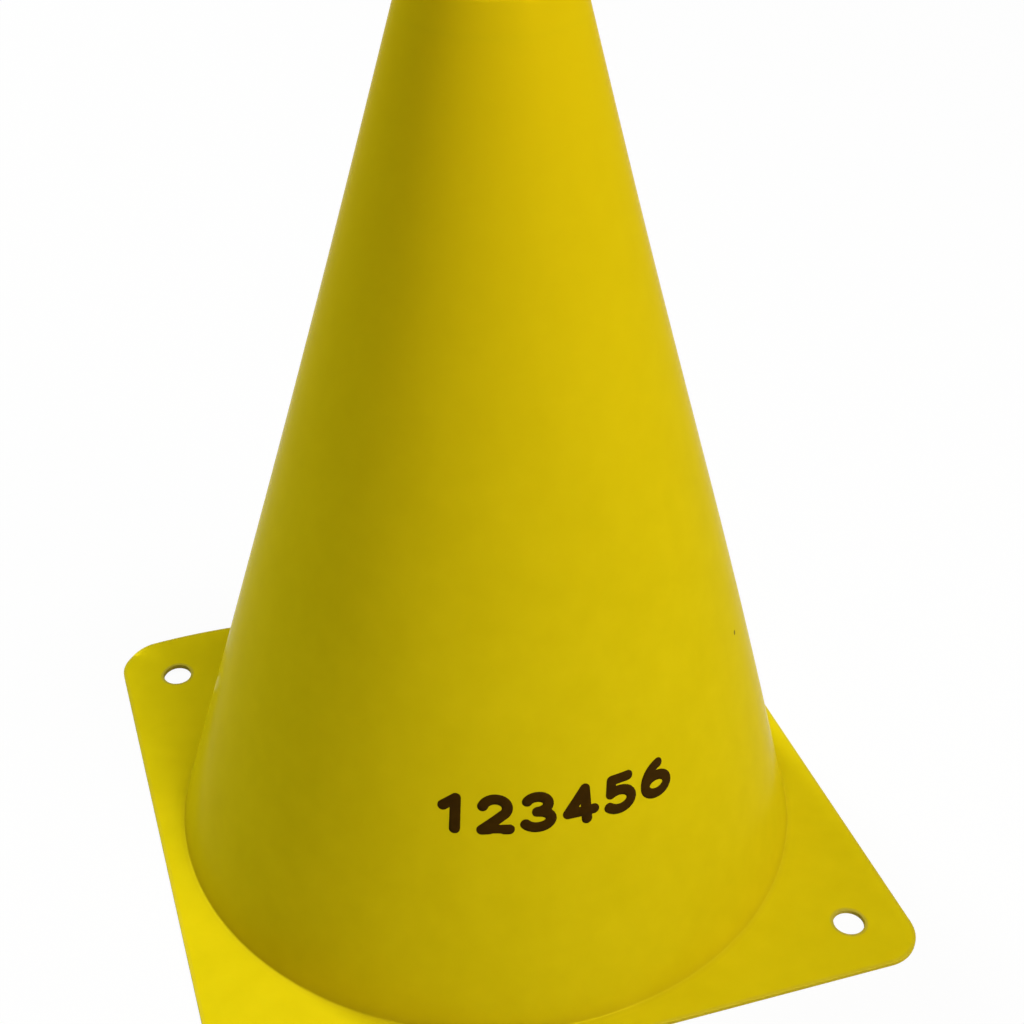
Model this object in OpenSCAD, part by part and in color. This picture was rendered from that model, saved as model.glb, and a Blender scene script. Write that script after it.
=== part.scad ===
// Sports marker cone: a thin, flexible, one-piece moulding on a square foot plate.
// Millimetres, +Z up. The origin is the centre of the underside of the foot plate.
// The moulding is kept as three zones that meet face to face: the foot plate, the
// tapering wall with its flared foot, and the turned-in lip round the top hole.

/* [Cone] */
// Overall height, from the ground to the top of the lip
cone_h = 180; // [120:1:260]
// Outside diameter that the straight wall would have at the top of the foot plate
foot_d = 130; // [100:1:190]
// Outside diameter that the straight wall would have at full height
top_d = 28.5; // [27:0.5:40]
// Thickness of the tapering wall
wall_t = 1.2; // [0.8:0.1:1.6]
// Radius of the flare between the wall and the top of the foot plate
flare_r = 1.5; // [1:0.1:2.8]

/* [Lip] */
// Diameter of the hole in the top, which takes a marker pole
hole_d = 22; // [12:0.5:22]
// Thickness of the turned-in lip
lip_t = 1.6; // [1.2:0.1:2.4]
// Height of the zone that carries the lip
lip_h = 6; // [4:0.5:12]
// Radius of the rounded outer edge of the lip
lip_edge_r = 1.5; // [0.5:0.1:2]

/* [Foot plate] */
// Width of the plate outside the wall, at the middle of each side
ledge_w = 5; // [4:0.5:20]
// Thickness of the foot plate
plate_t = 1; // [0.8:0.1:3]
// Radius of the plate's corners
corner_r = 8.5; // [4:0.5:14]
// Distance from the centre of each peg hole to the plate's two nearest sides
peg_inset = 12; // [9:0.25:14]
// Diameter of the peg holes
peg_d = 6.2; // [3:0.1:8]

/* [Hidden] */

$fn = 128;
// Colour of the plastic
yellow = [0.84, 0.74, 0.06];
// Length by which a cut or a web runs past the face that it starts from
overrun = 0.4;
// Depth by which each rounding dips into its faces, so that they cross cleanly
bite = 0.01;
// Flat ring of the foot between the flare and the edge of the opening in the plate
foot_margin = 0.5;

// Slope of the wall from the upright, and the directions out of it and up along it
taper = atan((foot_d - top_d) / 2 / (cone_h - plate_t));
wall_out = [cos(taper), sin(taper)];
wall_up = [-sin(taper), cos(taper)];

// A point of the wall's profile at height z, a depth t under the outer face
function wall_at(z, t) =
    [foot_d / 2 - t / cos(taper) - (z - plate_t) * tan(taper), z];

// Length of face that a rounding of radius r takes on each side of a corner whose
// faces leave it along a and b
function web_run(a, b, r) = (r - bite) * sqrt((1 + a * b) / (1 - a * b));

// Side of the square foot plate
plate_w = foot_d + 2 * ledge_w;
// Distance from the middle of the plate to the centre of each peg hole, along X and Y
peg_at = plate_w / 2 - peg_inset;

// Radius of the rounding under the flare, which keeps the section even
under_r = flare_r + wall_t;
// Where the inner face of the wall would meet the ground
under_corner = wall_at(0, wall_t);
// Radius of the plate's opening, outside both roundings of the foot
opening_r = foot_margin + max(
    wall_at(plate_t, 0)[0] + web_run([1, 0], wall_up, flare_r),
    under_corner[0] + web_run([1, 0], wall_up, under_r)
);

// Height at which the lip's zone takes over from the wall
lip_z = cone_h - lip_h;

// Web between a corner and a rounding of radius r, where the faces leave the corner
// along a and b. It fills a hollow corner, or is taken off a proud one.
module web(corner, a, b, r) {
    run = web_run(a, b, r);
    // Centre of the rounding, on the corner's bisector
    centre = corner + (a + b) * run / (1 + a * b);
    difference() {
        polygon([
            corner - (a + b) * overrun,
            corner + a * run,
            centre,
            corner + b * run
        ]);
        translate(centre)
            circle(r = r);
    }
}

// Square outline of the foot plate with its round corners
module plate_outline() {
    reach = plate_w / 2 - corner_r;
    square([plate_w, 2 * reach], center = true);
    square([2 * reach, plate_w], center = true);
    for (sx = [-1, 1], sy = [-1, 1])
        translate([sx * reach, sy * reach])
            circle(r = corner_r);
}

// Flat plate, open in the middle, with a peg hole in each corner
module foot_plate() {
    color(yellow)
        difference() {
            linear_extrude(height = plate_t)
                plate_outline();
            translate([0, 0, -overrun])
                cylinder(r = opening_r, h = plate_t + 2 * overrun);
            for (sx = [-1, 1], sy = [-1, 1])
                translate([sx * peg_at, sy * peg_at, -overrun])
                    cylinder(d = peg_d, h = plate_t + 2 * overrun);
        }
}

// Profile of the foot and the wall, up to the lip's zone
module wall_profile() {
    difference() {
        union() {
            polygon([
                under_corner,
                [opening_r, 0],
                [opening_r, plate_t],
                wall_at(plate_t, 0),
                wall_at(lip_z, 0),
                wall_at(lip_z, wall_t)
            ]);
            web(wall_at(plate_t, 0), [1, 0], wall_up, flare_r);
        }
        web(under_corner, [1, 0], wall_up, under_r);
    }
}

// Tapering wall, with the flare that spreads it onto the plate
module cone_wall() {
    color(yellow)
        rotate_extrude()
            wall_profile();
}

// Profile of the lip's zone, where the wall turns in over the top
module lip_profile() {
    difference() {
        polygon([
            wall_at(lip_z, wall_t),
            wall_at(lip_z, 0),
            wall_at(cone_h, 0),
            [hole_d / 2, cone_h],
            [hole_d / 2, cone_h - lip_t],
            wall_at(cone_h - lip_t, wall_t)
        ]);
        web(wall_at(cone_h, 0), [-1, 0], -wall_up, lip_edge_r);
    }
}

module top_lip() {
    color(yellow)
        rotate_extrude()
            lip_profile();
}

foot_plate();
cone_wall();
top_lip();
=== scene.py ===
import math
import bmesh
import bpy
from mathutils import Matrix, Vector
from mathutils.geometry import delaunay_2d_cdt


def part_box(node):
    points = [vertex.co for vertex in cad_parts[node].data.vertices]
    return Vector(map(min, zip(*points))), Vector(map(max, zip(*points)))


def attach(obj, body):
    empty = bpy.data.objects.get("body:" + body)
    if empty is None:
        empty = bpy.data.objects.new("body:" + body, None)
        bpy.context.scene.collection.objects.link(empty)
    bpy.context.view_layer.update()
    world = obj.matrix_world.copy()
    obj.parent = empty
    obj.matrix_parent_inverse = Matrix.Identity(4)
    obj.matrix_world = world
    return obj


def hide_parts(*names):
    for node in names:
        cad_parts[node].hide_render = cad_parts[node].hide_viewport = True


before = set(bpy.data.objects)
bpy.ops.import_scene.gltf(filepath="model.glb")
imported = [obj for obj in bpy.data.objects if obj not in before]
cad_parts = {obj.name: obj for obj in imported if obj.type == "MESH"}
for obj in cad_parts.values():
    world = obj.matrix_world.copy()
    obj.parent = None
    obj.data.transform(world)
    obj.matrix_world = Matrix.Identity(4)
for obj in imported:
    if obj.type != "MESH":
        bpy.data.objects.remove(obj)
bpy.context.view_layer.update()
print("frame loaded:", sorted(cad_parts))

mm = 0.001
bpy.context.scene.view_settings.view_transform = "Standard"


# small helpers for node trees and meshes

def addNode(tree, kind, links=None, **settings):
    node = tree.nodes.new(kind)
    for key, value in settings.items():
        setattr(node, key, value)
    for key, value in (links or {}).items():
        if isinstance(value, bpy.types.NodeSocket):
            tree.links.new(value, node.inputs[key])
        else:
            node.inputs[key].default_value = value
    return node


def mathNode(tree, operation, a, b=0.0, c=0.0):
    return addNode(tree, "ShaderNodeMath", {0: a, 1: b, 2: c}, operation=operation).outputs[0]


def vectorNode(tree, operation, a, b=(0, 0, 0)):
    node = addNode(tree, "ShaderNodeVectorMath", {0: a, 1: b}, operation=operation)
    return node.outputs["Value" if operation in ("LENGTH", "DISTANCE") else "Vector"]


def scaleNode(tree, vector, amount):
    return addNode(tree, "ShaderNodeVectorMath", {0: vector, "Scale": amount}, operation="SCALE").outputs[0]


def joinNode(tree, x=0.0, y=0.0, z=0.0):
    return addNode(tree, "ShaderNodeCombineXYZ", {0: x, 1: y, 2: z}).outputs[0]


def splitNode(tree, vector):
    return addNode(tree, "ShaderNodeSeparateXYZ", {0: vector}).outputs


def rangeNode(tree, value, low, high, toLow=0.0, toHigh=1.0):
    return addNode(tree, "ShaderNodeMapRange", {
        "Value": value, "From Min": low, "From Max": high, "To Min": toLow, "To Max": toHigh}).outputs[0]


def noiseNode(tree, vector, scale, detail):
    return addNode(tree, "ShaderNodeTexNoise", {
        "Vector": vector, "Scale": scale, "Detail": detail}).outputs["Fac"]


def mixColour(tree, share, a, b):
    return addNode(tree, "ShaderNodeMix", {
        "Factor": share, "A": a, "B": b}, data_type="RGBA").outputs["Result"]


def startMaterial(name):
    material = bpy.data.materials.new(name)
    material.use_nodes = True
    material.node_tree.nodes.clear()
    return material, material.node_tree


def startTree(name, inputs):
    tree = bpy.data.node_groups.new(name, "GeometryNodeTree")
    tree.interface.new_socket("Geometry", in_out="INPUT", socket_type="NodeSocketGeometry")
    for label, kind in inputs.items():
        tree.interface.new_socket(label, in_out="INPUT", socket_type="NodeSocket" + kind)
    tree.interface.new_socket("Geometry", in_out="OUTPUT", socket_type="NodeSocketGeometry")
    return tree, addNode(tree, "NodeGroupInput").outputs


def endTree(tree, geometry, material):
    whole = addNode(tree, "GeometryNodeRealizeInstances", {"Geometry": geometry})
    painted = addNode(tree, "GeometryNodeSetMaterial", {
        "Geometry": whole.outputs[0], "Material": material})
    addNode(tree, "NodeGroupOutput", {"Geometry": painted.outputs[0]})


def runTree(source, tree, values):
    modifier = source.modifiers.new(tree.name, "NODES")
    modifier.node_group = tree
    for item in tree.interface.items_tree:
        if item.in_out == "INPUT" and item.name in values:
            modifier[item.identifier] = values[item.name]
    bpy.context.view_layer.update()
    evaluated = source.evaluated_get(bpy.context.evaluated_depsgraph_get())
    mesh = bpy.data.meshes.new_from_object(evaluated)
    source.modifiers.remove(modifier)
    source.data = mesh  # the tree's result becomes the object's own plain mesh


def newObject(name, vertices, edges=(), faces=()):
    mesh = bpy.data.meshes.new(name)
    mesh.from_pydata(vertices, edges, faces)
    piece = bpy.data.objects.new(name, mesh)
    bpy.context.scene.collection.objects.link(piece)
    return piece


def finishSkin(piece, sharpOver=50, weld=0.002 * mm):
    bm = bmesh.new()
    bm.from_mesh(piece.data)
    bmesh.ops.remove_doubles(bm, verts=bm.verts, dist=weld)
    bmesh.ops.recalc_face_normals(bm, faces=bm.faces)
    for face in bm.faces:
        face.smooth = True
    for edge in bm.edges:
        edge.smooth = edge.is_manifold and edge.calc_face_angle() < math.radians(sharpOver)
    bm.to_mesh(piece.data)
    bm.free()


# sizes of the foot plate, in millimetres; the painted shade along its edges follows them too

plateSizes = {
    "side": 140.0,
    "thickness": 1.0,
    "corner": 8.5,
    "pegInset": 12.0,
    "pegRadius": 3.1,
    "edgeRound": 0.15,
    "pegRound": 0.2,
    "spacing": 2.5,  # between the points strewn over the flat faces
    "sideSteps": 24,
    "cornerSteps": 16,
    "holeSteps": 48,
    "weld": 0.01,
    "liftStart": 67.8,  # the warp of the left corner begins this far from the middle
    "liftRun": 27.0,  # it has risen by the whole lift this much further out
    "liftSide": 20.0,  # and this far to one side of the corner's diagonal
    "lift": 3.7,
}


# yellow moulded plastic, the same all through the cone

plasticLook = {
    "deep": (0.65, 0.522, 0.003, 1),
    "bright": (0.695, 0.559, 0.004, 1),
    "paintedTopLight": (0.69, 0.513, 0.003, 1),  # painted light: the wall is painted warmer towards its top, for the light that falls there
    "paintedTopLightFrom": 70 * mm,
    "paintedTopLightTo": 190 * mm,
    "streakScale": 7.0,
    "streakDrop": 8.0,  # how much faster the streaks change down the wall than round it
    "streakShare": 0.25,
    "cloudScale": 60.0,
    "cloudShare": 0.35,
    "mottleScale": 190.0,
    "mottleShare": 0.4,
    "blendLow": 0.35,  # the three noises together lie between these two values
    "blendHigh": 0.65,
    "paintedCreaseShade": (0.45, 0.34, 0.01, 1),  # painted shade in the crease at the foot, where shade falls
    "paintedCreaseShadeShare": 0.3,
    "paintedCreaseShadeFade": 2.0,
    "paintedCreaseShadeHigh": 4.5 * mm,
    "paintedCreaseShadeLow": 1.1 * mm,
    "paintedCreaseShadeOuter": 66.2 * mm,
    "paintedCreaseShadeInner": 64.8 * mm,
    "paintedEdgeShade": (0.42, 0.35, 0.05, 1),  # painted shade: a thin darker line along the plate's edge and round its holes
    "paintedEdgeShadeWidth": 0.8 * mm,
    "paintedEdgeShadeOuter": 0.35,
    "paintedEdgeShadeHoles": 0.9,
    "paintedEdgeShadeFade": 0.6,
    "speck": (0.05, 0.03, 0.01, 1),  # one dark speck of dirt in the skin
    "speckPlace": (40.87 * mm, -28.33 * mm, 56.77 * mm),
    "speckSize": 0.6 * mm,
    "speckCore": 0.36 * mm,
    "speckShare": 0.8,
    "ripple": 0.03 * mm,  # height of the slow ripple in the skin
    "rippleScale": 90.0,
    "grain": 0.006 * mm,  # height of the fine grain
    "grainScale": 1400.0,
    "smooth": 0.17,
    "rough": 0.24,
    "pearl": 0.025,  # a trace of metal in the shader keeps the sheen as yellow as the body
    "pearlTint": (1.0, 0.8, 0.05, 1),
    "rimGloss": 0.0012,  # low, so that only a narrow rim picks up the white studio
    "glow": 0.15,  # light that passes through the skin
    "glowDepth": 1.5 * mm,
    "glowColour": (1.0, 0.7, 0.1),
}


def bodyColour(tree, look, place, flat, z):
    # faint streaks that run with the flow of the plastic, down the wall and out over the plate
    drop = joinNode(tree, z=mathNode(tree, "MULTIPLY", z, look["streakDrop"]))
    along = vectorNode(tree, "ADD", vectorNode(tree, "NORMALIZE", flat), drop)
    streaks = noiseNode(tree, along, look["streakScale"], 3.0)
    clouds = noiseNode(tree, place, look["cloudScale"], 4.0)
    mottle = noiseNode(tree, place, look["mottleScale"], 2.0)
    blend = mathNode(tree, "ADD", mathNode(tree, "MULTIPLY", streaks, look["streakShare"]),
                     mathNode(tree, "MULTIPLY", clouds, look["cloudShare"]))
    blend = mathNode(tree, "MULTIPLY_ADD", mottle, look["mottleShare"], blend)
    spread = rangeNode(tree, blend, look["blendLow"], look["blendHigh"])
    colour = mixColour(tree, spread, look["deep"], look["bright"])
    # painted light: the colour turns warmer towards the wall's top
    high = rangeNode(tree, z, look["paintedTopLightFrom"], look["paintedTopLightTo"])
    return mixColour(tree, high, colour, look["paintedTopLight"]), clouds


def paintedCreaseShadeShare(tree, look, flat, z):
    # painted shade, thickest where the wall's foot meets the plate
    low = mathNode(tree, "POWER", rangeNode(tree, z, look["paintedCreaseShadeHigh"], look["paintedCreaseShadeLow"]), look["paintedCreaseShadeFade"])
    near = rangeNode(tree, vectorNode(tree, "LENGTH", flat), look["paintedCreaseShadeOuter"], look["paintedCreaseShadeInner"])
    return mathNode(tree, "MULTIPLY", mathNode(tree, "MULTIPLY", low, near), look["paintedCreaseShadeShare"])


def paintedEdgeShadeShare(tree, look, flat):
    # painted shade, strongest on the plate's outer edge and on the rims of its peg holes
    corner, pegRadius = plateSizes["corner"] * mm, plateSizes["pegRadius"] * mm
    reach = plateSizes["side"] / 2 * mm - corner
    peg = (plateSizes["side"] / 2 - plateSizes["pegInset"]) * mm
    quarter = vectorNode(tree, "ABSOLUTE", flat)
    past = vectorNode(tree, "MAXIMUM", vectorNode(tree, "SUBTRACT", quarter, (reach, reach, 0)))
    edge = rangeNode(tree, vectorNode(tree, "LENGTH", past), corner - look["paintedEdgeShadeWidth"], corner)
    spoke = vectorNode(tree, "DISTANCE", quarter, (peg, peg, 0))
    rim = rangeNode(tree, spoke, pegRadius + look["paintedEdgeShadeWidth"], pegRadius)
    edge = mathNode(tree, "MULTIPLY", mathNode(tree, "POWER", edge, look["paintedEdgeShadeFade"]), look["paintedEdgeShadeOuter"])
    rim = mathNode(tree, "MULTIPLY", mathNode(tree, "POWER", rim, look["paintedEdgeShadeFade"]), look["paintedEdgeShadeHoles"])
    return mathNode(tree, "MAXIMUM", edge, rim)


def skinNormal(tree, look, place):
    normal = None
    for scale, height in ((look["rippleScale"], look["ripple"]), (look["grainScale"], look["grain"])):
        links = {"Height": noiseNode(tree, place, scale, 2.0), "Strength": 1.0, "Distance": height}
        if normal:
            links["Normal"] = normal
        normal = addNode(tree, "ShaderNodeBump", links).outputs[0]
    return normal


def makePlastic(look):
    material, tree = startMaterial("yellowPlastic")
    place = addNode(tree, "ShaderNodeTexCoord").outputs["Object"]
    x, y, z = splitNode(tree, place)
    flat = joinNode(tree, x, y)
    colour, clouds = bodyColour(tree, look, place, flat, z)
    # painted shade darkens the crease at the wall's foot
    colour = mixColour(tree, paintedCreaseShadeShare(tree, look, flat, z), colour, look["paintedCreaseShade"])
    # painted shade darkens the plate's outer edge and its hole rims
    colour = mixColour(tree, paintedEdgeShadeShare(tree, look, flat), colour, look["paintedEdgeShade"])
    away = vectorNode(tree, "DISTANCE", place, look["speckPlace"])
    dot = rangeNode(tree, away, look["speckCore"], look["speckSize"], look["speckShare"], 0.0)
    colour = mixColour(tree, dot, colour, look["speck"])
    skin = addNode(tree, "ShaderNodeBsdfPrincipled", {
        "Base Color": colour, "Roughness": rangeNode(tree, clouds, 0.3, 0.7, look["smooth"], look["rough"]),
        "Normal": skinNormal(tree, look, place), "IOR": 1.5, "Metallic": look["pearl"],
        "Specular IOR Level": look["rimGloss"], "Specular Tint": look["pearlTint"],
        "Subsurface Weight": look["glow"], "Subsurface Scale": look["glowDepth"],
        "Subsurface Radius": look["glowColour"]})
    addNode(tree, "ShaderNodeOutputMaterial", {"Surface": skin.outputs[0]})
    return material


plastic = makePlastic(plasticLook)
print("material made:", plastic.name)


# the wall and the lip, both turned from a profile; sizes in millimetres

turnedSizes = {
    "height": 180.3,
    "footRadius": 65.0,
    "topRadius": 14.52,
    "wall": 1.2,
    "flare": 0.4,  # rounding of the crease where the wall meets the plate
    "plate": 1.0,
    "lipZone": 6.0,  # height of the top part that carries the lip
    "softFrom": 5.0,
    "softTo": 174.0,
    "belly": -0.1,  # one slow wave outwards
    "pinch": 0.2,  # a quicker one, out below and in above
    "sway": 0.4,  # the same two waves to one side
    "curl": 0.12,
    "lean": -0.34,  # and a plain lean
    "bendTowards": -18.8,  # direction of the sway, curl and lean, in degrees
    "segments": 256,
    "rings": 40,
}
lipSizes = {
    "thick": 1.6,
    "outerRound": 1.2,
    "innerRound": 0.8,
    "hole": 11.0,  # radius of the hole that takes a pole
    "holeRound": 0.35,
    "rings": 4,
    "roundSteps": 6,
}
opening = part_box("cone_wall")[1].x / mm  # radius at which the wall's foot meets the plate


def turnedTree():
    tree, given = startTree("turnedSkin", {
        "Segments": "Int", "Turning Radius": "Float", "Soft From": "Float", "Soft To": "Float",
        "Belly": "Float", "Pinch": "Float", "Sway": "Float", "Curl": "Float", "Lean": "Float",
        "Bend Towards": "Vector", "Material": "Material"})
    profile = addNode(tree, "GeometryNodeMeshToCurve", {"Mesh": given["Geometry"]})
    circle = addNode(tree, "GeometryNodeCurvePrimitiveCircle", {
        "Resolution": given["Segments"], "Radius": given["Turning Radius"]})
    upright = addNode(tree, "GeometryNodeSetCurveNormal", {"Curve": circle.outputs[0]}, mode="Z_UP")
    turned = addNode(tree, "GeometryNodeCurveToMesh", {
        "Curve": upright.outputs[0], "Profile Curve": profile.outputs[0]})
    # the soft wall isn't quite straight: slow waves move it in and out, and a little to one side
    x, y, z = splitNode(tree, addNode(tree, "GeometryNodeInputPosition").outputs[0])
    share = rangeNode(tree, z, given["Soft From"], given["Soft To"])
    arch = mathNode(tree, "SINE", mathNode(tree, "MULTIPLY", share, math.pi))
    double = mathNode(tree, "SINE", mathNode(tree, "MULTIPLY", share, 2 * math.pi))
    swell = mathNode(tree, "MULTIPLY", arch, given["Belly"])
    swell = mathNode(tree, "MULTIPLY_ADD", double, given["Pinch"], swell)
    aside = mathNode(tree, "MULTIPLY", arch, given["Sway"])
    aside = mathNode(tree, "MULTIPLY_ADD", double, given["Curl"], aside)
    aside = mathNode(tree, "MULTIPLY_ADD", share, given["Lean"], aside)
    swelled = scaleNode(tree, vectorNode(tree, "NORMALIZE", joinNode(tree, x, y)), swell)
    total = vectorNode(tree, "ADD", swelled, scaleNode(tree, given["Bend Towards"], aside))
    bent = addNode(tree, "GeometryNodeSetPosition", {"Geometry": turned.outputs[0], "Offset": total})
    endTree(tree, bent.outputs[0], given["Material"])
    return tree


def wallSlope(sizes):
    return math.atan((sizes["footRadius"] - sizes["topRadius"]) / (sizes["height"] - sizes["plate"]))


def wallPoint(sizes, z, depth):
    # radius and height of a point of the wall, this deep under its outer face
    slope = wallSlope(sizes)
    radius = sizes["footRadius"] - (z - sizes["plate"]) * math.tan(slope)
    return Vector((radius - depth / math.cos(slope), z))


def roundCorner(before, corner, after, radius, steps=10):
    # the points of the rounding that takes a corner's place
    a, b = (before - corner).normalized(), (after - corner).normalized()
    half = a.angle(b) / 2
    centre = corner + (a + b).normalized() * radius / math.sin(half)
    start, end = corner + a * radius / math.tan(half), corner + b * radius / math.tan(half)
    swing = (start - centre).angle_signed(end - centre)
    points = []
    for step in range(steps + 1):
        spoke = start - centre
        spoke.rotate(Matrix.Rotation(-swing * step / steps, 2))
        points.append(centre + spoke)
    return points


def straight(a, b, count):
    return [a.lerp(b, step / count) for step in range(1, count)]


def wallOutline(sizes):
    # over the foot, up the outside and down the inside
    top, wall = sizes["height"] - sizes["lipZone"], sizes["wall"]
    outerTop, innerTop = wallPoint(sizes, top, 0), wallPoint(sizes, top, wall)
    points = [Vector((opening, 0)), Vector((opening, sizes["plate"]))]
    points += roundCorner(points[1], wallPoint(sizes, sizes["plate"], 0), outerTop, sizes["flare"])
    points += straight(points[-1], outerTop, sizes["rings"]) + [outerTop, innerTop]
    inner = roundCorner(innerTop, wallPoint(sizes, 0, wall), points[0], sizes["flare"] + wall)
    return points + straight(innerTop, inner[0], sizes["rings"]) + inner


def lipOutline(sizes, lip):
    # up the outside, in over the top to the hole and back underneath
    high, wall, steps = sizes["height"], sizes["wall"], lip["roundSteps"]
    start, low = high - sizes["lipZone"], high - lip["thick"]
    innerStart, outerStart = wallPoint(sizes, start, wall), wallPoint(sizes, start, 0)
    outerTop, innerTop = wallPoint(sizes, high, 0), wallPoint(sizes, low, wall)
    holeTop, holeLow = Vector((lip["hole"], high)), Vector((lip["hole"], low))
    points = [innerStart, outerStart] + straight(outerStart, outerTop, lip["rings"])
    points += roundCorner(outerStart, outerTop, holeTop, lip["outerRound"])
    points += roundCorner(outerTop, holeTop, holeLow, lip["holeRound"], steps)
    points += roundCorner(holeTop, holeLow, innerTop, lip["holeRound"], steps)
    return points + roundCorner(holeLow, innerTop, innerStart, lip["innerRound"], steps)


def turnProfile(name, points, sizes, tree):
    middle, aim = sizes["footRadius"] / 2, math.radians(sizes["bendTowards"])
    # a profile on an upright curve is turned with its own Y pointing down
    corners = [((point.x - middle) * mm, -point.y * mm, 0) for point in points]
    loop = [(i, (i + 1) % len(corners)) for i in range(len(corners))]
    piece = newObject(name, corners, loop)
    runTree(piece, tree, {
        "Segments": sizes["segments"], "Turning Radius": middle * mm,
        "Soft From": sizes["softFrom"] * mm, "Soft To": sizes["softTo"] * mm,
        "Belly": sizes["belly"] * mm, "Pinch": sizes["pinch"] * mm, "Sway": sizes["sway"] * mm,
        "Curl": sizes["curl"] * mm, "Lean": sizes["lean"] * mm,
        "Bend Towards": [math.cos(aim), math.sin(aim), 0.0], "Material": plastic})
    finishSkin(piece)
    return piece


turning = turnedTree()
coneWall = turnProfile("coneWall", wallOutline(turnedSizes), turnedSizes, turning)
topLip = turnProfile("topLip", lipOutline(turnedSizes, lipSizes), turnedSizes, turning)
print("wall and lip turned:", len(coneWall.data.polygons), len(topLip.data.polygons))


# the foot plate: one quarter is filled, and the tree turns it four times

def circlePoints(centre, radius, count, quarter=False):
    whole, last = (math.pi / 2, count + 1) if quarter else (2 * math.pi, count)
    turns = [whole * step / count for step in range(last)]
    return [centre + Vector((math.cos(turn), math.sin(turn))) * radius for turn in turns]


def quarterEdge(sizes, inset):
    # from the middle of one side round the corner to the middle of the next
    half, steps = sizes["side"] / 2, sizes["sideSteps"]
    reach = half - sizes["corner"]
    side = [Vector((half - inset, reach * step / steps)) for step in range(steps)]
    bend = circlePoints(Vector((reach, reach)), sizes["corner"] - inset, sizes["cornerSteps"], quarter=True)
    back = [Vector((reach * (steps - step) / steps, half - inset)) for step in range(1, steps + 1)]
    return side + bend + back


def within(point, loop):
    # a line from the point crosses the outline an odd number of times
    count = 0
    for a, b in zip(loop, loop[1:] + loop[:1]):
        if (a.y > point.y) != (b.y > point.y):
            count += point.x < a.x + (point.y - a.y) * (b.x - a.x) / (b.y - a.y)
    return count % 2 == 1


def gapTo(point, a, b):
    run = b - a
    share = max(0, min(1, (point - a).dot(run) / max(run.length_squared, 1e-12)))
    return (point - a - run * share).length


def fillFlat(loops, isSolid, spacing):
    # triangles between outlines, where isSolid says so, with points strewn evenly inside
    points, edges = [], []
    for loop in loops:
        first = len(points)
        points += loop
        edges += [(first + i, first + (i + 1) % len(loop)) for i in range(len(loop))]
    rims = [(points[a].copy(), points[b].copy()) for a, b in edges]
    low = Vector((min(p.x for p in points), min(p.y for p in points)))
    high = Vector((max(p.x for p in points), max(p.y for p in points)))
    rowGap, clear = spacing * 0.87, spacing * 0.45
    row = 0
    while low.y + row * rowGap < high.y:
        column = 0
        while low.x + column * spacing < high.x:
            point = low + Vector(((column + row % 2 / 2) * spacing, row * rowGap))
            if isSolid(point) and all(gapTo(point, a, b) > clear for a, b in rims):
                points.append(point)
            column += 1
        row += 1
    made = delaunay_2d_cdt(points, edges, [], 0, 1e-6)
    spots, faces = made[0], made[2]
    middles = [sum((spots[i] for i in face), Vector((0, 0))) / len(face) for face in faces]
    return spots, [tuple(face) for face, middle in zip(faces, middles) if isSolid(middle)]


def addStrip(vertices, faces, rows, closed):
    first, wide = len(vertices), len(rows[0])
    for row in rows:
        vertices.extend(row)
    for r in range(len(rows) - 1):
        for i in range(wide if closed else wide - 1):
            a, b = first + r * wide + i, first + r * wide + (i + 1) % wide
            faces.append((a, b, b + wide, a + wide))


def roundedRows(loopAt, radius, thick):
    # from the top face over the edge, down the side and under to the bottom face
    rows = []
    for z0, turns in ((thick - radius, range(0, 91, 15)), (radius, range(90, 181, 15))):
        for turn in turns:
            out, up = math.sin(math.radians(turn)), math.cos(math.radians(turn))
            rows.append([(p.x, p.y, z0 + radius * up) for p in loopAt(radius * (1 - out))])
    return rows


def quarterPlate(sizes, openingSteps):
    thick, count, peg = sizes["thickness"], sizes["holeSteps"], sizes["side"] / 2 - sizes["pegInset"]
    spot, hole, rimRound = Vector((peg, peg)), sizes["pegRadius"], sizes["pegRound"]
    vertices, faces = [], []
    addStrip(vertices, faces, roundedRows(
        lambda inset: quarterEdge(sizes, inset), sizes["edgeRound"], thick), False)
    addStrip(vertices, faces, roundedRows(
        lambda inset: circlePoints(spot, hole + inset, count), rimRound, thick), True)
    inner = circlePoints(Vector((0, 0)), opening, openingSteps // 4, quarter=True)
    addStrip(vertices, faces, [[(p.x, p.y, z) for p in inner] for z in (thick, 0)], False)
    outline = quarterEdge(sizes, sizes["edgeRound"]) + inner[::-1]
    rim = circlePoints(spot, hole + rimRound, count)
    spots, triangles = fillFlat(
        [outline, rim], lambda p: within(p, outline) and not within(p, rim), sizes["spacing"])
    for z in (thick, 0):
        first = len(vertices)
        vertices.extend((p.x, p.y, z) for p in spots)
        faces.extend(tuple(first + i for i in face) for face in triangles)
    return [tuple(c * mm for c in v) for v in vertices], faces


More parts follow.
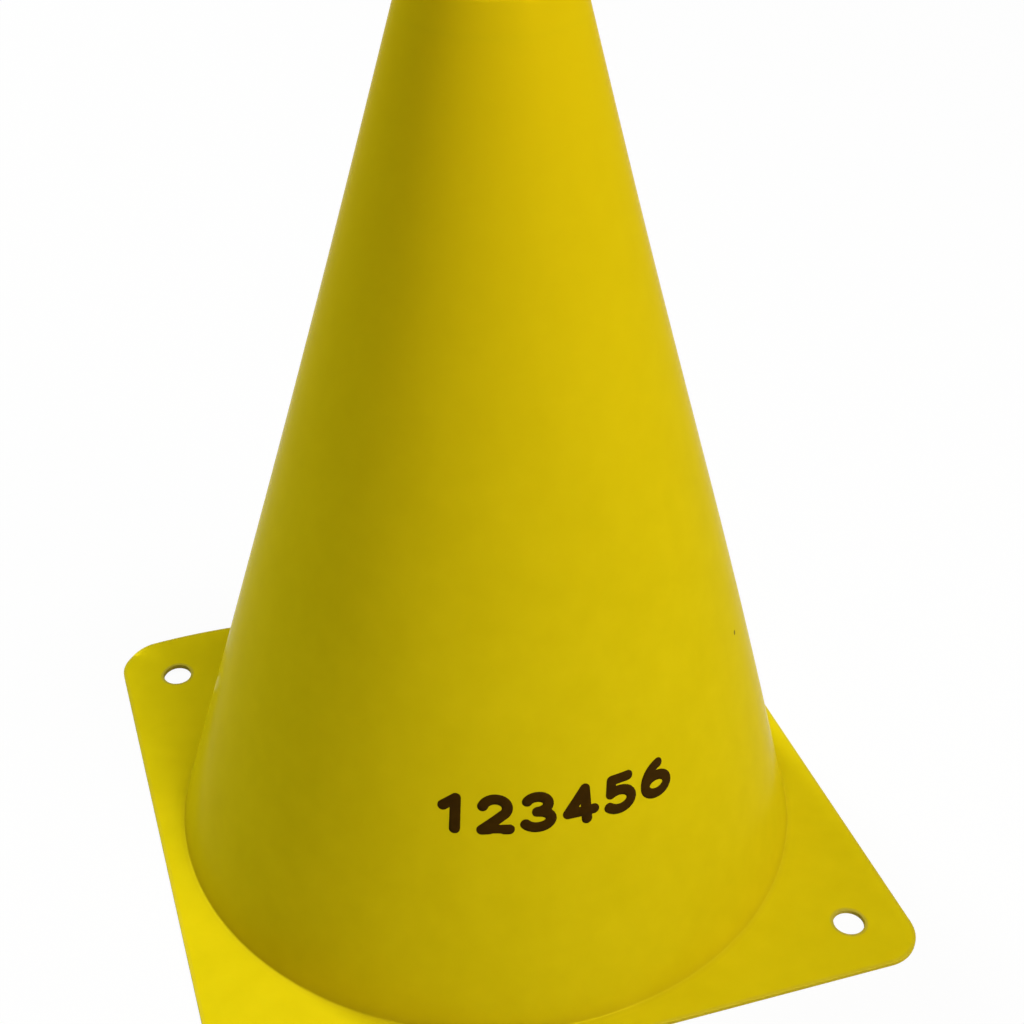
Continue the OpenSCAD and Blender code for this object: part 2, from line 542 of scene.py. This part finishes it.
def plateTree():
    tree, given = startTree("quarteredPlate", {
        "Quarters": "Int", "Weld": "Float", "Lift": "Float", "Lift Start": "Float",
        "Lift Run": "Float", "Lift Side": "Float", "Material": "Material"})
    spots = addNode(tree, "GeometryNodeMeshLine", {"Count": given["Quarters"], "Offset": (0, 0, 0)})
    number = addNode(tree, "GeometryNodeInputIndex").outputs[0]
    copies = addNode(tree, "GeometryNodeInstanceOnPoints", {
        "Points": spots.outputs[0], "Instance": given["Geometry"],
        "Rotation": joinNode(tree, z=mathNode(tree, "MULTIPLY", number, math.pi / 2))})
    joined = addNode(tree, "GeometryNodeRealizeInstances", {"Geometry": copies.outputs[0]})
    merged = addNode(tree, "GeometryNodeMergeByDistance", {
        "Geometry": joined.outputs[0], "Distance": given["Weld"]})
    # the flexible plate is a little warped: one side of its left corner stands off the ground
    x, y = splitNode(tree, addNode(tree, "GeometryNodeInputPosition").outputs[0])[:2]
    start = mathNode(tree, "MULTIPLY", given["Lift Start"], -1.0)
    out = mathNode(tree, "MULTIPLY_ADD", mathNode(tree, "SUBTRACT", y, x), math.sqrt(0.5), start)
    reach = mathNode(tree, "MAXIMUM", mathNode(tree, "DIVIDE", out, given["Lift Run"]))
    across = mathNode(tree, "MULTIPLY", mathNode(tree, "ADD", x, y), math.sqrt(0.5))
    side = mathNode(tree, "MAXIMUM", mathNode(tree, "DIVIDE", across, given["Lift Side"]))
    rise = mathNode(tree, "MULTIPLY", mathNode(tree, "MULTIPLY", reach, side), given["Lift"])
    bent = addNode(tree, "GeometryNodeSetPosition", {
        "Geometry": merged.outputs[0], "Offset": joinNode(tree, z=rise)})
    endTree(tree, bent.outputs[0], given["Material"])
    return tree


def makePlate(sizes):
    points, faces = quarterPlate(sizes, turnedSizes["segments"])
    piece = newObject("footPlate", points, (), faces)
    runTree(piece, plateTree(), {
        "Quarters": 4, "Weld": sizes["weld"] * mm, "Lift": sizes["lift"] * mm,
        "Lift Start": sizes["liftStart"] * mm, "Lift Run": sizes["liftRun"] * mm,
        "Lift Side": sizes["liftSide"] * mm, "Material": plastic})
    finishSkin(piece)
    return piece


footPlate = makePlate(plateSizes)
print("plate made:", len(footPlate.data.polygons))


# a plain number in dark ink, laid on the wall; sizes in millimetres

printSizes = {
    "number": "123456",
    "cap": 8.1,
    "stroke": 2.0,
    "width": 6.9,
    "gap": 0.9,
    "turn": -93.4,  # where the middle of the number lies round the cone, in degrees
    "low": 41.5,  # height of its foot above the ground
    "film": 0.03,  # thickness of the ink
    "search": 100.0,  # each point looks for the wall from this far away
    "spacing": 0.7,
}
inkLook = {
    "dark": (0.03, 0.013, 0.0005, 1),
    "pale": (0.05, 0.023, 0.001, 1),
    "mottleScale": 700.0,
    "bump": 0.01 * mm,
    "rough": 0.45,
    "gloss": 0.015,
}


def arc(x, y, wide, tall, start, end, steps=18):
    turns = [math.radians(start + (end - start) * step / steps) for step in range(steps + 1)]
    return [Vector((x + wide * math.cos(turn), y + tall * math.sin(turn))) for turn in turns]


def digitPaths(digit, w, h):
    # centre lines of the strokes in a box of width w and height h
    def line(*points):
        spots = [Vector((x * w, y * h)) for x, y in points]
        return [[a, b] for a, b in zip(spots, spots[1:])]

    if digit == "1":
        return line((0.16, 0.74), (0.62, 1), (0.62, 0))
    if digit == "2":
        bow = arc(w * 0.48, h * 0.7, w * 0.46, h * 0.3, 165, -38)
        return [bow, [bow[-1], Vector((w * 0.02, 0))]] + line((0.02, 0), (1, 0))
    if digit == "3":
        return [arc(w * 0.45, h * 0.755, w * 0.42, h * 0.245, 150, -90),
                arc(w * 0.45, h * 0.255, w * 0.5, h * 0.255, 90, -152)]
    if digit == "4":
        return line((0.7, 0), (0.7, 1), (0.0, 0.27), (1, 0.27))
    if digit == "5":
        bow = arc(w * 0.44, h * 0.31, w * 0.52, h * 0.31, 128, -145)
        return line((0.9, 1), (0.2, 1)) + [[Vector((w * 0.2, h)), bow[0]], bow]
    return [arc(w * 0.5, h * 0.29, w * 0.5, h * 0.29, 0, 360, 36), arc(w, h * 0.29, w, h * 0.71, 180, 108)]


def strokeLoop(path, radius):
    # outline of one stroke with round ends
    endTurn, endSteps, sharpest = 78, 12, 0.7
    aims = [(b - a).normalized() for a, b in zip(path, path[1:])]
    sides = []
    for i in range(len(path)):
        before, after = aims[max(i - 1, 0)], aims[min(i, len(aims) - 1)]
        aim = (before + after).normalized()
        sides.append(Vector((-aim.y, aim.x)) * radius / max(aim.dot(after), sharpest))
    loop = [point + side for point, side in zip(path, sides)]
    for end, aim in ((path[-1], aims[-1]), (path[0], -aims[0])):
        turn = math.degrees(math.atan2(aim.y, aim.x))
        loop += arc(end.x, end.y, radius, radius, turn + endTurn, turn - endTurn, endSteps)
        if end is path[-1]:
            loop += [point - side for point, side in zip(path[::-1], sides[::-1])]
    return loop


def printTree():
    tree, given = startTree("laidPrint", {
        "Wall": "Object", "Turn": "Float", "Radius": "Float", "Low": "Float", "Slope": "Float",
        "Film": "Float", "Search": "Float", "Material": "Material"})
    wall = addNode(tree, "GeometryNodeObjectInfo", {"Object": given["Wall"]})
    x, y = splitNode(tree, addNode(tree, "GeometryNodeInputPosition").outputs[0])[:2]
    angle = mathNode(tree, "ADD", mathNode(tree, "DIVIDE", x, given["Radius"]), given["Turn"])
    height = mathNode(tree, "MULTIPLY_ADD", y, mathNode(tree, "COSINE", given["Slope"]), given["Low"])
    outward = joinNode(tree, mathNode(tree, "COSINE", angle), mathNode(tree, "SINE", angle))
    # each point goes straight towards the axis until it meets the wall
    start = vectorNode(tree, "ADD", scaleNode(tree, outward, given["Search"]), joinNode(tree, z=height))
    hit = addNode(tree, "GeometryNodeRaycast", {
        "Target Geometry": wall.outputs["Geometry"], "Source Position": start,
        "Ray Direction": scaleNode(tree, outward, -1.0), "Ray Length": given["Search"]})
    lift = scaleNode(tree, hit.outputs["Hit Normal"], given["Film"])
    laid = addNode(tree, "GeometryNodeSetPosition", {
        "Geometry": given["Geometry"],
        "Position": vectorNode(tree, "ADD", hit.outputs["Hit Position"], lift)})
    endTree(tree, laid.outputs[0], given["Material"])
    return tree


def makeInk(look):
    material, tree = startMaterial("printInk")
    place = addNode(tree, "ShaderNodeTexCoord").outputs["Object"]
    mottle = noiseNode(tree, place, look["mottleScale"], 3.0)
    bump = addNode(tree, "ShaderNodeBump", {"Height": mottle, "Distance": look["bump"]})
    ink = addNode(tree, "ShaderNodeBsdfPrincipled", {
        "Base Color": mixColour(tree, mottle, look["dark"], look["pale"]), "Roughness": look["rough"],
        "Normal": bump.outputs[0], "Specular IOR Level": look["gloss"]})
    addNode(tree, "ShaderNodeOutputMaterial", {"Surface": ink.outputs[0]})
    return material


def flatNumber(sizes):
    vertices, faces, x = [], [], 0.0
    radius = sizes["stroke"] / 2
    for digit in sizes["number"]:
        paths = digitPaths(digit, sizes["width"] - sizes["stroke"], sizes["cap"] - sizes["stroke"])
        lines = [(a, b) for path in paths for a, b in zip(path, path[1:])]
        loops = [strokeLoop(path, radius) for path in paths]
        spots, triangles = fillFlat(
            loops, lambda p: min(gapTo(p, a, b) for a, b in lines) < radius, sizes["spacing"])
        first = len(vertices)
        vertices += [(p.x + x + radius, p.y + radius, 0) for p in spots]
        faces += [tuple(first + i for i in face) for face in triangles]
        x += sizes["width"] + sizes["gap"]
    middle = (x - sizes["gap"]) / 2
    return newObject("numberPrint", [((v[0] - middle) * mm, v[1] * mm, 0) for v in vertices], (), faces)


def outwardFaces(piece):
    bm = bmesh.new()
    bm.from_mesh(piece.data)
    bmesh.ops.recalc_face_normals(bm, faces=bm.faces)
    if sum(face.normal.xy.dot(face.calc_center_median().xy) for face in bm.faces) < 0:
        bmesh.ops.reverse_faces(bm, faces=bm.faces)
    bm.to_mesh(piece.data)
    bm.free()


def makePrint(sizes, wall):
    piece = flatNumber(sizes)
    halfway = sizes["low"] + sizes["cap"] / 2
    runTree(piece, printTree(), {
        "Wall": wall, "Turn": math.radians(sizes["turn"]),
        "Radius": wallPoint(turnedSizes, halfway, 0).x * mm, "Low": sizes["low"] * mm,
        "Slope": wallSlope(turnedSizes), "Film": sizes["film"] * mm,
        "Search": sizes["search"] * mm, "Material": makeInk(inkLook)})
    outwardFaces(piece)
    film = piece.modifiers.new("film", "SOLIDIFY")
    film.thickness = sizes["film"] * 2 * mm  # as much again reaches into the wall
    film.offset = -1
    solid = bpy.data.meshes.new_from_object(piece.evaluated_get(bpy.context.evaluated_depsgraph_get()))
    piece.modifiers.remove(film)
    piece.data = solid
    for face in piece.data.polygons:
        face.use_smooth = True
    return piece


numberPrint = makePrint(printSizes, coneWall)
print("number laid on the wall:", len(numberPrint.data.polygons))

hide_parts("foot_plate")
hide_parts("cone_wall")
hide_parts("top_lip")
for piece in (footPlate, coneWall, topLip, numberPrint):
    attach(piece, "root")


# floor, light and camera

floorSizes = {"half": 3.0, "drop": 0.05 * mm, "glow": 0.95}


def seenRays(tree):
    # 1 where the camera sees the background, straight on, in a reflection or through something
    path = addNode(tree, "ShaderNodeLightPath").outputs
    seen = mathNode(tree, "MAXIMUM", path["Is Camera Ray"], path["Is Glossy Ray"])
    return mathNode(tree, "MAXIMUM", seen, path["Is Transmission Ray"])


def makeFloor(sizes):
    half, z = sizes["half"], -sizes["drop"]
    corners = [(-half, -half, z), (half, -half, z), (half, half, z), (-half, half, z)]
    floor = newObject("floor", corners, (), [(0, 1, 2, 3)])
    material, tree = startMaterial("paleFloor")
    matt = addNode(tree, "ShaderNodeBsdfDiffuse", {"Color": (0.8, 0.8, 0.8, 1)})
    bright = addNode(tree, "ShaderNodeEmission", {"Color": (1, 1, 1, 1), "Strength": 1.0})
    share = mathNode(tree, "MULTIPLY", seenRays(tree), sizes["glow"])
    both = addNode(tree, "ShaderNodeMixShader", {0: share, 1: matt.outputs[0], 2: bright.outputs[0]})
    addNode(tree, "ShaderNodeOutputMaterial", {"Surface": both.outputs[0]})
    floor.data.materials.append(material)


lamps = {
    "key": {"place": (0.3586, -0.4936, 1.4403), "size": 0.3, "power": 15.8, "colour": (1.0, 1.0, 1.0)},
    "low": {"place": (0.745, -1.137, 0.704), "size": 0.4, "power": 5.9, "colour": (1.0, 0.83, 0.7)},
    "back": {"place": (-0.448, 0.961, 1.131), "size": 0.3, "power": 13.9, "colour": (0.955, 1.0, 0.955)},
}
lampAim = Vector((0, 0, 0.07))


def makeLamp(name, lamp):
    light = bpy.data.lights.new(name, "AREA")
    light.shape = "SQUARE"
    light.size = lamp["size"]
    light.energy = lamp["power"]
    light.color = lamp["colour"]
    holder = bpy.data.objects.new(name, light)
    bpy.context.scene.collection.objects.link(holder)
    holder.location = lamp["place"]
    holder.rotation_euler = (lampAim - Vector(lamp["place"])).to_track_quat("-Z", "Y").to_euler()


def makeWorld(glow):
    world = bpy.data.worlds.new("studio")
    bpy.context.scene.world = world
    world.use_nodes = True
    tree = world.node_tree
    tree.nodes.clear()
    strength = mathNode(tree, "MULTIPLY", seenRays(tree), glow)
    sky = addNode(tree, "ShaderNodeBackground", {"Color": (1, 1, 1, 1), "Strength": strength})
    addNode(tree, "ShaderNodeOutputWorld", {"Surface": sky.outputs[0]})


cameraSizes = {
    "place": (-0.084596, -0.262489, 0.267096),
    "azimuth": -18.777,
    "elevation": 34.906,
    "roll": 1.0215,
    "lens": 60.989,
}


def makeCamera(sizes):
    a, e, r = (math.radians(sizes[key]) for key in ("azimuth", "elevation", "roll"))
    back = Vector((math.sin(a) * math.cos(e), -math.cos(a) * math.cos(e), math.sin(e)))
    right = Vector((math.cos(a), math.sin(a), 0))
    up = back.cross(right)
    tiltRight = right * math.cos(r) + up * math.sin(r)
    tiltUp = up * math.cos(r) - right * math.sin(r)
    camera = bpy.data.objects.new("camera", bpy.data.cameras.new("camera"))
    camera.data.lens = sizes["lens"]
    camera.data.sensor_width = 36
    camera.data.clip_start = 0.01
    turn = Matrix((tiltRight, tiltUp, back)).transposed().to_4x4()
    camera.matrix_world = Matrix.Translation(sizes["place"]) @ turn
    bpy.context.scene.collection.objects.link(camera)
    bpy.context.scene.camera = camera


makeFloor(floorSizes)
for name, lamp in lamps.items():
    makeLamp(name, lamp)
makeWorld(floorSizes["glow"])
makeCamera(cameraSizes)
print("stage set")
